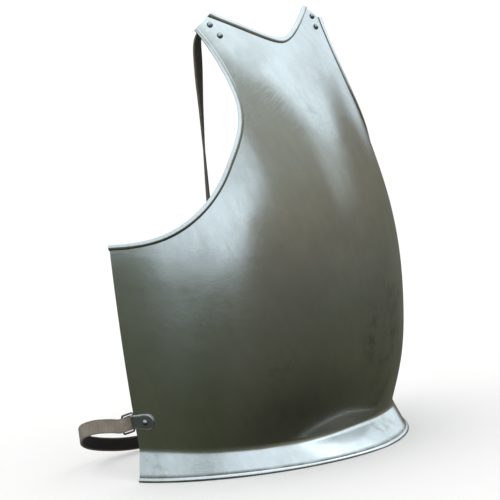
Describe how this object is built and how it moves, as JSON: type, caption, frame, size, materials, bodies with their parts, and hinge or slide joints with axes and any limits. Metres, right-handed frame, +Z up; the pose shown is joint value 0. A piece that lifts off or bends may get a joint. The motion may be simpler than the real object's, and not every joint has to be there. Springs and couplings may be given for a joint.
{
  "type": "steel breastplate",
  "caption": "Globose steel breastplate with rolled neck and armholes, flared waist flange, leather shoulder straps and a leather waist strap on side tabs",
  "frame": {"origin": "the bottom centre of the bounding box of the whole object, on the surface that the rim stands on", "axes": "+X is the wearer's left, +Y the wearer's back, +Z up; the plate's symmetry plane is X = 0"},
  "size_m": [0.3458, 0.3074, 0.4501],
  "materials": {
    "plate_steel": "polished steel with soft blurred reflections, faint smudges and fine scratches",
    "rivet_steel": "domed polished rivet heads, darker at their foot",
    "fitting_steel": "darkened steel with bright worn edges",
    "shoulder_leather": "dark brown leather, matt, with cut edges",
    "waist_leather": "worn brown-grey leather, matt, with fine grain"
  },
  "bodies": {
    "root": {"breastplate": "plate_steel", "shoulder_rivet_left_upper": "rivet_steel", "shoulder_rivet_left_lower": "rivet_steel", "shoulder_rivet_right_upper": "rivet_steel", "shoulder_rivet_right_lower": "rivet_steel", "shoulder_strap_left": "shoulder_leather", "shoulder_strap_right": "shoulder_leather", "tab_rivet_left": "rivet_steel", "tab_rivet_right": "rivet_steel", "side_tab_left": "fitting_steel", "side_tab_right": "fitting_steel", "buckle_frame_left": "fitting_steel", "buckle_frame_right": "fitting_steel", "waist_strap": "waist_leather"}
  },
  "joints": []
}
